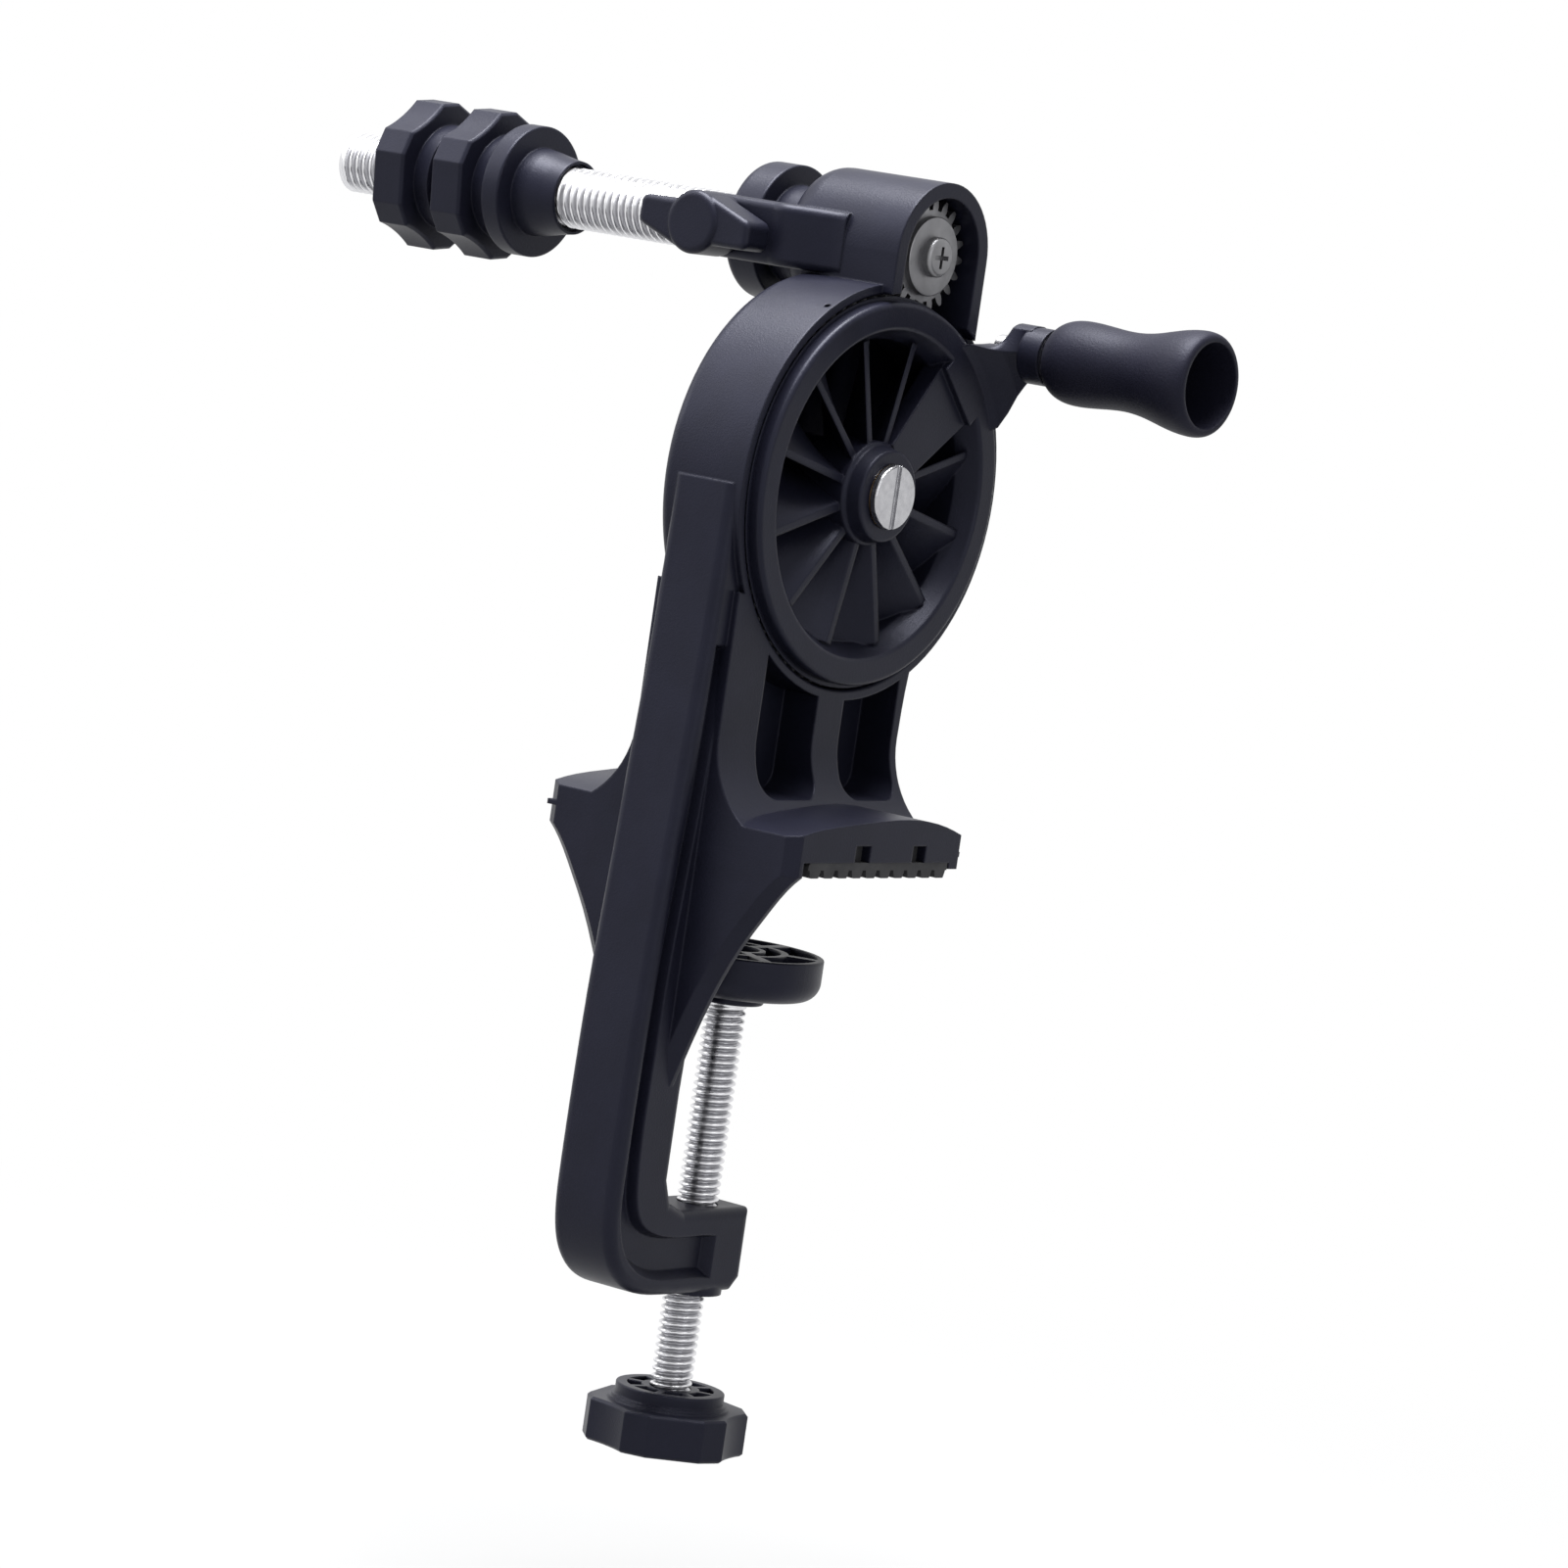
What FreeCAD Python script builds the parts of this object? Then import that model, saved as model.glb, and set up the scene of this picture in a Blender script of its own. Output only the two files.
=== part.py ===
"""Clamp-on fishing line winder, one STEP file per separate piece.

Frame of the STEP files: origin on the clamp screw's axis, in the plane of the upper jaw's teeth.
X runs towards the handle, Y from the spine towards the mouth of the clamp, Z up. Millimetres.
The sizes below are measured from the crank axis in the plane of the wheel's front face, with the
same directions, and every piece is moved to the clamp's origin as it is written.
"""
import FreeCAD, Part
import math
import os

V = FreeCAD.Vector

# ---- fits and clearances
RUN = 0.05            # radial running clearance of shafts, screws and bushes
AIR = 0.5             # free gap between faces that turn past each other
SHAKE = 0.35          # smallest free gap, at pieces that nearly touch
BACKLASH = 0.16       # thinning of both gears' teeth together, on the pitch circle
TIP_AIR = 0.4         # gear tips to the walls round them
PAST = 1.0            # how far a cutting tool runs past the face it leaves by

# ---- gears
MODULE = 1.0
PRESSURE = math.radians(20.0)
DRIVE_TEETH = 73
PINION_TEETH = 20
GEAR_BACK, GEAR_FRONT = -12.5, -3.5
ADDENDUM, DEDENDUM = 1.0 * MODULE, 1.25 * MODULE
CENTRES = MODULE * (DRIVE_TEETH + PINION_TEETH) / 2
DRIVE_TIP_R = MODULE * DRIVE_TEETH / 2 + ADDENDUM
DRIVE_ROOT_R = MODULE * DRIVE_TEETH / 2 - DEDENDUM
PINION_TIP_R = MODULE * PINION_TEETH / 2 + ADDENDUM

# ---- axes
SPINDLE_Y = 8.6
SPINDLE_Z = math.sqrt(CENTRES ** 2 - SPINDLE_Y ** 2)
CLAMP_X, CLAMP_Y = -11.0, -10.4
DRAG_X = -39.2
HANDLE_R, HANDLE_ANGLE = 42.5, math.radians(44.1)
HANDLE_Y = HANDLE_R * math.cos(HANDLE_ANGLE)
HANDLE_Z = HANDLE_R * math.sin(HANDLE_ANGLE)

# ---- gear case and spindle boss
CASE_WALL, CASE_BACK, CASE_FLOOR, CASE_FRONT = 1.9, -22.0, -19.5, -2.4
CASE_BORE = DRIVE_TIP_R + TIP_AIR
CASE_R = CASE_BORE + CASE_WALL
CASE_EDGE, CAVITY_ROUND, RIM_CHAMFER = 2.5, 1.5, 0.4
RECESS_R, RECESS_FLOOR, RECESS_FOOT_Z = PINION_TIP_R + TIP_AIR, -13.2, 28.0
BOSS_WALL, BOSS_BACK, BOSS_ROUND = 2.9, -29.5, 6.0
BOSS_R, BOSS_FRONT = RECESS_R + BOSS_WALL, 0.0
BOSS_FOOT_Z = 24.0
BUSH_R, BUSH_LEN, BUSH_SET = 7.5, 6.6, 0.4
AXLE_R, AXLE_BOSS_R, AXLE_FRONT = 5.0, 9.0, 2.1
AXLE_FLANGE_R, AXLE_FLANGE_T = 7.5, 1.2
OIL_HOLE_R, OIL_HOLE_X, OIL_HOLE_ANGLE = 0.6, -3.9, math.radians(120.2)

# ---- drag arm
ARM_FRONT, ARM_BACK, ARM_END, ARM_HALF, ARM_ROUND = -10.5, -5.2, -46.0, 6.0, 1.5
ARM_BLEND = [(-27.0, -10.5), (-22.0, -9.9), (-17.5, -7.2), (-13.0, -6.0)]

# ---- spine, column and jaws
SPINE_HALF, SPINE_ROUND = 7.3, 2.0
SPINE_BACK = [(-40.5, 0.0), (-41.0, -20.0), (-41.8, -38.5), (-42.8, -53.3), (-44.0, -73.7),
              (-45.2, -94.2), (-45.8, -111.0), (-46.0, -131.0), (-45.6, -139.5),
              (-43.6, -146.4), (-40.0, -150.8), (-35.0, -153.4), (-29.0, -154.4), (-22.0, -154.6)]
JAW_END, JAW_TOP, JAW_BOTTOM, JAW_CORNER = -2.6, -138.4, -154.6, 2.5
JAW_BOSS_R, JAW_BOSS_BOTTOM = 7.0, -155.4
THROAT_Y, THROAT_R = -29.3, 6.5
THROAT_RISE = [(-29.3, -115.0), (-29.0, -105.0), (-29.2, -96.0), (-30.4, -86.0), (-32.8, -76.0)]
PLATE_FRONT = -32.8
GROOVE_DEPTH = 2.3
GROOVE_OUT = [(-39.4, -30.0), (-40.3, -53.0), (-41.7, -74.0), (-42.8, -94.0), (-43.4, -111.0),
              (-43.5, -131.0), (-43.0, -139.4), (-39.8, -146.6), (-33.4, -150.8),
              (-24.0, -151.9), (-12.5, -152.0)]
GROOVE_OUT_DEEP = [(-37.6, -31.5), (-38.3, -53.0), (-39.6, -74.0), (-40.8, -94.0), (-41.8, -111.0),
                   (-42.0, -131.0), (-41.4, -139.0), (-38.4, -145.2), (-32.6, -148.8),
                   (-24.0, -149.8), (-14.0, -150.0)]
GROOVE_IN = [(-12.5, -143.2), (-24.0, -143.0), (-30.5, -142.3), (-36.2, -139.6), (-39.2, -131.0),
             (-39.5, -111.0), (-39.0, -94.0), (-37.6, -74.0), (-36.2, -53.0), (-35.6, -30.0)]
GROOVE_IN_DEEP = [(-14.0, -144.0), (-24.0, -143.8), (-31.0, -143.1), (-36.9, -140.2), (-40.0, -131.0),
                  (-40.2, -111.0), (-39.7, -94.0), (-38.3, -74.0), (-36.9, -53.0), (-36.2, -31.5)]
PLATE_BACK, WING_HALF, WING_TOP = -36.0, 30.0, -62.9
WING_BEVEL, WING_BEVEL_DEPTH = 2.6, 2.0
WING_FLARE = [(30.0, -70.0), (26.6, -73.6), (23.5, -78.0), (19.6, -84.0), (16.1, -90.5),
              (13.2, -97.0), (10.6, -104.0), (7.3, -114.0)]
UPPER_END, UPPER_MIDDLE, UPPER_BOTTOM, LIP_BOTTOM = 15.6, 21.4, -67.2, -68.4
UPPER_ARCH = [(-36.0, -62.6), (-29.0, -61.1), (-19.4, -60.1), (-8.0, -59.2), (2.0, -59.1),
              (8.0, -59.8), (14.0, -61.3), (22.4, -64.8)]
SLOT_BANDS = [(-17.2, -12.6), (0.8, 4.9)]
SLOT_TOP, SLOT_NECK = -64.0, 1.1
COLUMN_BACK, COLUMN_FRONT, COLUMN_TOP = CASE_BACK, CASE_FRONT, -20.0
COLUMN_EDGE = [(21.4, -30.0), (20.4, -37.0), (20.0, -44.0), (19.9, -50.0), (19.8, -66.7)]
FLARE_R, FLARE_FOOT = 18.6, -65.6
WEB_HALF, POCKET_ROUND = 1.6, 4.0
POCKETS = [(-24.4, -7.0), (1.2, 18.0)]
POCKET_TOP, POCKET_FLOOR = -20.0, -58.4

# ---- upper jaw pad
PAD_INSET, TONGUE_INSET, PAD_LOW, PAD_TEETH = 0.1, 2.0, -68.6, 10
PAD_TOOTH_H, PAD_TOOTH_GAP, PAD_TOOTH_ROUND = 1.5, 0.9, 0.4
PAD_Y0, PAD_Y1, PAD_END_GAP, PAD_ROUND_TOP = -31.1, 12.6, 0.3, 0.8

# ---- spindle
SPINDLE_R, SPINDLE_END, SPINDLE_CHAMFER, THREAD_STOP = 6.0, -148.6, 0.9, -30.0
JOURNAL_R, PINION_SEAT_R, SHAFT_TAP_R, SHAFT_TAP_LEN, PINION_SCREW_LEN = 5.0, 4.0, 1.5, 8.0, 7.5
DISC_R, DISC_BACK, DISC_FRONT, DISC_ROUND = 13.3, -43.0, -35.5, 1.8
SLEEVE_R = 9.5
PIN_R, PIN_X, PIN_INSET = 1.25, -32.9, 0.4
CONE_DISC_R, CONE_BACK, CONE_FACE = 13.0, -104.5, -100.0
CONE_NOSE = [(-100.0, 8.8), (-97.0, 8.4), (-93.5, 7.7), (-90.4, 7.25)]
CONE_EDGE, CONE_RIM, CONE_MOUTH, CONE_STEP = 0.7, 0.3, 0.7, 1.4
NUT_WASHER_T = 2.4

# ---- three-lobed hand nuts and clamp knob
NUT_CORNER_R, NUT_WAIST_R, NUT_BODY, NUT_COLLAR, NUT_COLLAR_R = 14.8, 13.3, 7.8, 3.6, 10.4
NUT_LOBES = math.radians(66.5)
NUT_FACE_OUTER, NUT_FACE_INNER = -124.0, -108.9
KNOB_CORNER_R, KNOB_WAIST_R, KNOB_LOBES = 15.5, 13.9, math.radians(-44.0)
LOBE_INNER, LOBE_OUTER = math.radians(20.0), math.radians(39.5)
EDGE_BREAK = 0.5

# ---- pinion stack
WASHER_R, PINION_WASHER_T = 7.6, 1.4
PAN_R, PAN_T, CROSS_HALF, CROSS_ARM, CROSS_DEPTH = 3.85, 1.9, 0.42, 2.1, 1.2

# ---- crank wheel
WHEEL_BACK, FLANGE_T, FLANGE_STEP, FLANGE_WIDTH, FLANGE_ROUND = -12.7, 3.0, 0.8, 5.1, 0.9
FLANGE_R = DRIVE_TIP_R - FLANGE_STEP
FLANGE_IN = FLANGE_R - FLANGE_WIDTH
GEAR_RIM, SKIRT_T = 4.2, 1.85
SKIRT_R = DRIVE_ROOT_R - GEAR_RIM
SKIRT_IN = SKIRT_R - SKIRT_T
HUB_R, HUB_FRONT, HUB_TIP_R, HUB_NECK = 10.0, 1.8, 8.7, -1.8
CRANK_BUSH_R, WHEEL_BUSH_END = 7.0, 1.4
BLADES, BLADE_START, BLADE_SWEEP = 12, math.radians(13.0), math.radians(27.0)
BLADE_T, BLADE_FRONT, BLADE_BACK, BLADE_STEPS = 1.5, -2.2, -12.2, 4
WEB_BLADE, CRANK_WEB_HUB, CRANK_WEB_RIM, CRANK_WEB_BACK, CRANK_WEB_FRONT = 1, 9.0, 15.0, -5.5, -1.4
SLOT_HEAD_R, SLOT_HEAD_T, SLOT_W, SLOT_DEPTH, HUB_SCREW_R, HUB_SCREW_LEN = 6.15, 1.5, 1.5, 0.7, 2.5, 11.0
GEAR_SCREWS, GEAR_SCREW_R, GEAR_SCREW_HEAD_R = 6, 0.9, 1.7
GEAR_SCREW_CIRCLE = (SKIRT_R + DRIVE_ROOT_R) / 2
GEAR_SCREW_HEAD_T, GEAR_SCREW_TIP = 1.2, -1.2

# ---- crank arm and handle
# arm sections: height, radius beyond the ring's edge, first and last angle there, highest Z
FAIRING = [(-1.6, -3.0, 22.0, 58.0, 30.6), (1.2, -0.8, 24.0, 57.0, 30.6), (3.2, 0.5, 28.5, 53.0, 30.9),
           (5.2, 1.8, 33.5, 50.0, 36.0), (9.6, 4.0, 41.0, 47.5, 36.0)]
FAIRING_BOSS_R = 5.7
FAIRING_POINTS, FAIRING_WRAP = 16, math.radians(80.0)
ROOT_HALF, ROOT_BACK = 7.2, -2.6
NECK_R, NECK_END = 5.5, 13.4
HANDLE_PIN_R, HANDLE_PIN_BACK = 3.0, 1.0
GRIP_START, GRIP_END, GRIP_FLOOR = 14.2, 50.0, 38.6
GRIP_OUT = [(14.2, 4.9), (15.0, 6.4), (17.2, 7.7), (21.0, 8.2), (26.0, 7.9), (32.0, 7.6),
            (37.5, 8.3), (42.5, 9.5), (46.5, 10.1), (48.6, 10.0), (49.7, 9.5), (50.0, 8.9)]
CUP_R, CUP_DEPTH_R = 8.3, 7.4
HANDLE_WASHER_T, HANDLE_WASHER_R = 0.8, 4.4
CUP_SCREW_HEAD_R, CUP_SCREW_HEAD_T, CUP_SCREW_R, CUP_SCREW_LEN = 4.6, 2.0, 1.5, 9.0
TAP_PAST = 1.0        # a tapped hole goes this far past its screw

# ---- drag knob, screw and shoe
WINGS_FRONT, WINGS_BACK, DOME_FRONT, DOME_R, DOME_CORNER = -19.0, -11.7, -19.6, 6.1, 1.2
WING_REACH, WING_FLAT, WING_TIP, WING_EDGE = 13.3, 3.9, -1.5, 1.1
DRAG_SCREW_R, DRAG_SCREW_IN, DRAG_INSERT_R = 2.5, -16.0, 4.0
SHOE_R, SHOE_T, SHOE_RETRACT = 3.2, 1.4, 1.2
SHOE_PEG_R, SHOE_PEG_DEPTH = 1.2, 0.9

# ---- clamp screw, pad and knob
CLAMP_SCREW_R, CLAMP_NECK_R, CLAMP_INSERT_R, CLAMP_INSERT_INSET = 4.0, 3.0, 5.6, 2.0
PAD_R, PAD_TOP, PAD_T, PAD_ROUND = 17.3, -89.0, 8.3, 3.8
PAD_BOTTOM = PAD_TOP - PAD_T
PAD_HUB_R, PAD_HUB_T = 7.0, 2.0
PETALS, PETAL_DEPTH, PETAL_IN, PETAL_OUT, PETAL_GAP = 6, 1.6, 10.4, 16.0, 2.4
RING_IN, RING_OUT, RING_GAP = 6.0, 9.0, 2.0
CLIP_WELL_R, CLIP_R, CLIP_T = 4.9, 4.4, 0.8
CLIP_WELL_FLOOR, NECK_TOP = PAD_TOP - 3.4, PAD_TOP - 1.6
KNOB_COLLAR_TOP, KNOB_COLLAR_R, KNOB_STEP_R, KNOB_TOP, KNOB_BOTTOM = -174.5, 10.5, 11.1, -177.7, -186.0
KNOB_WELL_R, KNOB_CORE_R, KNOB_WELL_DEPTH, KNOB_RIBS, KNOB_RIB_W = 8.4, 5.6, 2.2, 8, 1.3
KNOB_SCREW_IN = -183.0


# ---- helpers
def place(axis, t, p):
    """Point at height t on the named axis, with the two other coordinates p in X, Y, Z order."""
    return {"x": V(t, p[0], p[1]), "y": V(p[0], t, p[1]), "z": V(p[0], p[1], t)}[axis]


def along(axis, length):
    return place(axis, length, (0.0, 0.0))


def corner_edges(points, corners):
    """Straight edges through 3-D points, with an arc of the stated radius at each corner."""
    ends, arcs, n = [], [], len(points)
    for i, p in enumerate(points):
        a, b = (points[i - 1] - p), (points[(i + 1) % n] - p)
        a.normalize()
        b.normalize()
        r = corners[i]
        if r <= 0:
            ends.append((p, p))
            arcs.append(None)
            continue
        half = math.acos(max(-1.0, min(1.0, a.dot(b)))) / 2
        back = r / math.tan(half)
        bisect = a + b
        bisect.normalize()
        first, last = p + a * back, p + b * back
        middle = p + bisect * (r / math.sin(half) - r)
        ends.append((first, last))
        arcs.append(Part.Arc(first, middle, last).toShape())
    edges = []
    for i in range(n):
        if arcs[i]:
            edges.append(arcs[i])
        start, stop = ends[i][1], ends[(i + 1) % n][0]
        if start.distanceToPoint(stop) > 1e-5:
            edges.append(Part.makeLine(start, stop))
    return edges


def polygon_face(axis, t, points):
    """Face from (u, v) or (u, v, corner radius) points."""
    solid_points = [place(axis, t, p) for p in points]
    radii = [p[2] if len(p) > 2 else 0.0 for p in points]
    return Part.Face(Part.Wire(corner_edges(solid_points, radii)))


def prism(axis, a, b, points):
    return polygon_face(axis, a, points).extrude(along(axis, b - a))


def turned(axis, u, v, profile):
    """Solid of revolution from (height, radius) or (height, radius, corner radius) points."""
    side = {"x": V(0, 0, 1), "y": V(1, 0, 0), "z": V(1, 0, 0)}[axis]
    base = place(axis, 0.0, (u, v))
    step = along(axis, 1.0)
    points = [base + step * p[0] + side * p[1] for p in profile]
    radii = [p[2] if len(p) > 2 else 0.0 for p in profile]
    face = Part.Face(Part.Wire(corner_edges(points, radii)))
    return face.revolve(base, step, 360)


def rod(axis, r, a, b, u=0.0, v=0.0):
    return Part.makeCylinder(r, b - a, place(axis, a, (u, v)), along(axis, 1.0))


def tube(axis, outer, inner, a, b, u=0.0, v=0.0):
    return rod(axis, outer, a, b, u, v).cut(rod(axis, inner, a - 1, b + 1, u, v))


def spline(axis, t, points):
    curve = Part.BSplineCurve()
    curve.interpolate([place(axis, t, p) for p in points])
    return curve.toShape()


def mixed_wire(axis, t, runs):
    """Closed wire from runs: ("s", points) is a spline, ("l", points) straight lines."""
    edges, last = [], None
    for kind, points in runs:
        first = place(axis, t, points[0])
        if last is not None and last.distanceToPoint(first) > 1e-6:
            edges.append(Part.makeLine(last, first))
        if kind == "s":
            edges.append(spline(axis, t, points))
        else:
            spots = [place(axis, t, p) for p in points]
            edges += [Part.makeLine(a, b) for a, b in zip(spots, spots[1:])]
        last = place(axis, t, points[-1])
    start = place(axis, t, runs[0][1][0])
    if last.distanceToPoint(start) > 1e-6:
        edges.append(Part.makeLine(last, start))
    return Part.Wire(edges)


def run_prism(axis, a, b, runs):
    return Part.Face(mixed_wire(axis, a, runs)).extrude(along(axis, b - a))


def fuse(shapes):
    first = shapes[0].fuse(shapes[1:]) if len(shapes) > 1 else shapes[0]
    return first.removeSplitter()


def ring_angles(count):
    return [2 * math.pi * k / count for k in range(count)]


def polar(r, angle):
    return r * math.cos(angle), r * math.sin(angle)


def edges_where(shape, test):
    return [e for e in shape.Edges if test(e)]


def flat_at(axis, t):
    """Test for edges that lie in the plane at height t of the axis."""
    index = "xyz".index(axis)

    def test(edge):
        return all(abs(tuple(v.Point)[index] - t) < 1e-4 for v in edge.Vertexes) and \
            abs(tuple(edge.CenterOfMass)[index] - t) < 1e-4
    return test


# ---- gears
def involute(angle):
    return math.tan(angle) - angle


def gear_outline(teeth, first_tooth, flank_steps=4):
    """Points of an involute gear about the origin; a tooth is centred on the first angle."""
    pitch = MODULE * teeth / 2
    base = pitch * math.cos(PRESSURE)
    root, tip = pitch - DEDENDUM, pitch + ADDENDUM
    half = math.pi / (2 * teeth) - BACKLASH / (4 * pitch) + involute(PRESSURE)
    start = max(root, base)
    flank = [start + (tip - start) * k / flank_steps for k in range(flank_steps + 1)]
    side = [(r, half - involute(math.acos(min(1.0, base / r)))) for r in flank]
    if root < base:
        side = [(root, half)] + side
    points = []
    for k in range(teeth):
        middle = first_tooth + 2 * math.pi * k / teeth
        points += [polar(r, middle - a) for r, a in side]
        points += [polar(r, middle + a) for r, a in reversed(side)]
    return points


def gear(teeth, y, z, first_tooth):
    points = [(y + u, z + v) for u, v in gear_outline(teeth, first_tooth)]
    return prism("x", GEAR_BACK, GEAR_FRONT, points)


MESH_ANGLE = math.atan2(SPINDLE_Z, SPINDLE_Y)


# ---- frame
def spine():
    half = [CLAMP_X - SPINE_HALF, CLAMP_X + SPINE_HALF]
    outline = [("s", SPINE_BACK),
               ("l", [(JAW_END - JAW_CORNER, JAW_BOTTOM), (JAW_END, JAW_BOTTOM + JAW_CORNER),
                      (JAW_END, JAW_TOP), (THROAT_Y + THROAT_R, JAW_TOP),
                      (THROAT_Y + THROAT_R * 0.293, JAW_TOP + THROAT_R * 0.293),
                      (THROAT_Y, JAW_TOP + THROAT_R)]),
               ("s", THROAT_RISE),
               ("l", [(PLATE_FRONT, COLUMN_TOP), (PLATE_FRONT, 0.0)])]
    body = run_prism("x", half[0], half[1], outline)
    rims = [e for t in half for e in edges_where(body, flat_at("x", t))
            if e.CenterOfMass.z < -1.0 and e.Length > 3]
    body = body.makeFillet(SPINE_ROUND, rims)
    for side in (-1, 1):
        face = CLAMP_X + side * SPINE_HALF
        wires = [mixed_wire("x", face + side * AIR, [("s", GROOVE_OUT), ("s", GROOVE_IN)]),
                 mixed_wire("x", face - side * GROOVE_DEPTH,
                            [("s", GROOVE_OUT_DEEP), ("s", GROOVE_IN_DEEP)])]
        body = body.cut(Part.makeLoft(wires, True, True))
    return body.fuse(rod("z", JAW_BOSS_R, JAW_BOSS_BOTTOM, JAW_BOTTOM + PAST, CLAMP_X, CLAMP_Y))


def column():
    """Flanged neck between the gear case and the upper jaw, with a pocket on each side of a web."""
    foot = [(COLUMN_BACK, COLUMN_TOP), (COLUMN_FRONT, COLUMN_TOP),
            (COLUMN_FRONT, FLARE_FOOT, FLARE_R), (COLUMN_FRONT + FLARE_R, FLARE_FOOT),
            (COLUMN_FRONT + FLARE_R, FLARE_FOOT - PAST), (COLUMN_BACK - FLARE_R, FLARE_FOOT - PAST),
            (COLUMN_BACK - FLARE_R, FLARE_FOOT), (COLUMN_BACK, FLARE_FOOT, FLARE_R)]
    body = prism("y", PLATE_BACK, COLUMN_EDGE[0][0], foot)
    left, right = COLUMN_BACK - FLARE_R - PAST, COLUMN_FRONT + FLARE_R + PAST
    keep = run_prism("x", left, right, [("l", [(PLATE_BACK, COLUMN_TOP)]), ("s", COLUMN_EDGE),
                                        ("l", [(PLATE_BACK, COLUMN_EDGE[-1][1])])])
    body = body.common(keep)
    middle = (COLUMN_BACK + COLUMN_FRONT) / 2
    for low, high in POCKETS:
        outline = [(low, POCKET_TOP), (high, POCKET_TOP), (high, POCKET_FLOOR, POCKET_ROUND),
                   (low, POCKET_FLOOR, POCKET_ROUND)]
        for a, b in ((middle + WEB_HALF, right), (left, middle - WEB_HALF)):
            body = body.cut(prism("x", a, b, outline))
    return body


def upper_jaw():
    """Arched bar with a bowed end, over a plate whose wings narrow down to the spine."""
    left, right = CLAMP_X - WING_HALF, CLAMP_X + WING_HALF
    seat_end = PAD_Y1 + PAD_END_GAP
    bar = run_prism("x", left, right, [("s", UPPER_ARCH),
                                       ("l", [(UPPER_ARCH[-1][0], LIP_BOTTOM), (seat_end, LIP_BOTTOM),
                                              (seat_end, UPPER_BOTTOM), (PLATE_BACK, UPPER_BOTTOM)])])
    bow = Part.Arc(V(right, UPPER_END, LIP_BOTTOM), V(CLAMP_X, UPPER_MIDDLE, LIP_BOTTOM),
                   V(left, UPPER_END, LIP_BOTTOM)).toShape()
    bevel_y = PLATE_BACK + WING_BEVEL_DEPTH
    corners = [V(x, y, LIP_BOTTOM) for x, y in (
        (left, UPPER_END), (left, bevel_y), (left + WING_BEVEL, PLATE_BACK),
        (right - WING_BEVEL, PLATE_BACK), (right, bevel_y), (right, UPPER_END))]
    sides = [Part.makeLine(a, b) for a, b in zip(corners, corners[1:])]
    plan = Part.Face(Part.Wire([bow] + sides)).extrude(V(0, 0, COLUMN_TOP - LIP_BOTTOM))
    plate = Part.makeLoft([wing_outline(PLATE_FRONT, 0.0), wing_outline(bevel_y, 0.0),
                           wing_outline(PLATE_BACK, WING_BEVEL)], True, True)
    return bar.common(plan).fuse(plate)


def wing_outline(y, inset):
    """Outline of the winged plate, drawn in by the inset on both sides."""
    half = WING_HALF - inset
    flare = [(u - inset, z) for u, z in WING_FLARE]
    return mixed_wire("y", y, [("l", [(CLAMP_X - half, WING_TOP), (CLAMP_X + half, WING_TOP)]),
                               ("s", [(CLAMP_X + u, z) for u, z in flare]),
                               ("s", [(CLAMP_X - u, z) for u, z in reversed(flare)])])


def jaw_slots():
    """Tools for the two slots that hold the pad's tongues."""
    left, right = CLAMP_X - WING_HALF, CLAMP_X + WING_HALF
    return [prism("x", left - PAST, right + PAST, [
        (low, SLOT_TOP), (high, SLOT_TOP), (high, UPPER_BOTTOM - SLOT_NECK),
        (low, UPPER_BOTTOM - SLOT_NECK)]) for low, high in SLOT_BANDS]


def drag_arm():
    low, high = SPINDLE_Z - ARM_HALF, SPINDLE_Z + ARM_HALF
    outline = [("l", [(ARM_BLEND[-1][0], ARM_BACK + 3.2), (BOSS_BACK + 2, ARM_BACK + 3.2),
                      (BOSS_BACK + 1, ARM_BACK), (ARM_END, ARM_BACK), (ARM_END, ARM_FRONT),
                      ARM_BLEND[0]]), ("s", ARM_BLEND)]
    bar = run_prism("z", low, high, outline)
    rims = [e for t in (low, high) for e in edges_where(bar, flat_at("z", t))
            if e.CenterOfMass.y < ARM_BACK + 0.1]
    rims += [e for e in bar.Edges if abs(e.CenterOfMass.x - ARM_END) < 1e-4 and e.Length > ARM_HALF]
    return bar.makeFillet(ARM_ROUND, rims)


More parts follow.
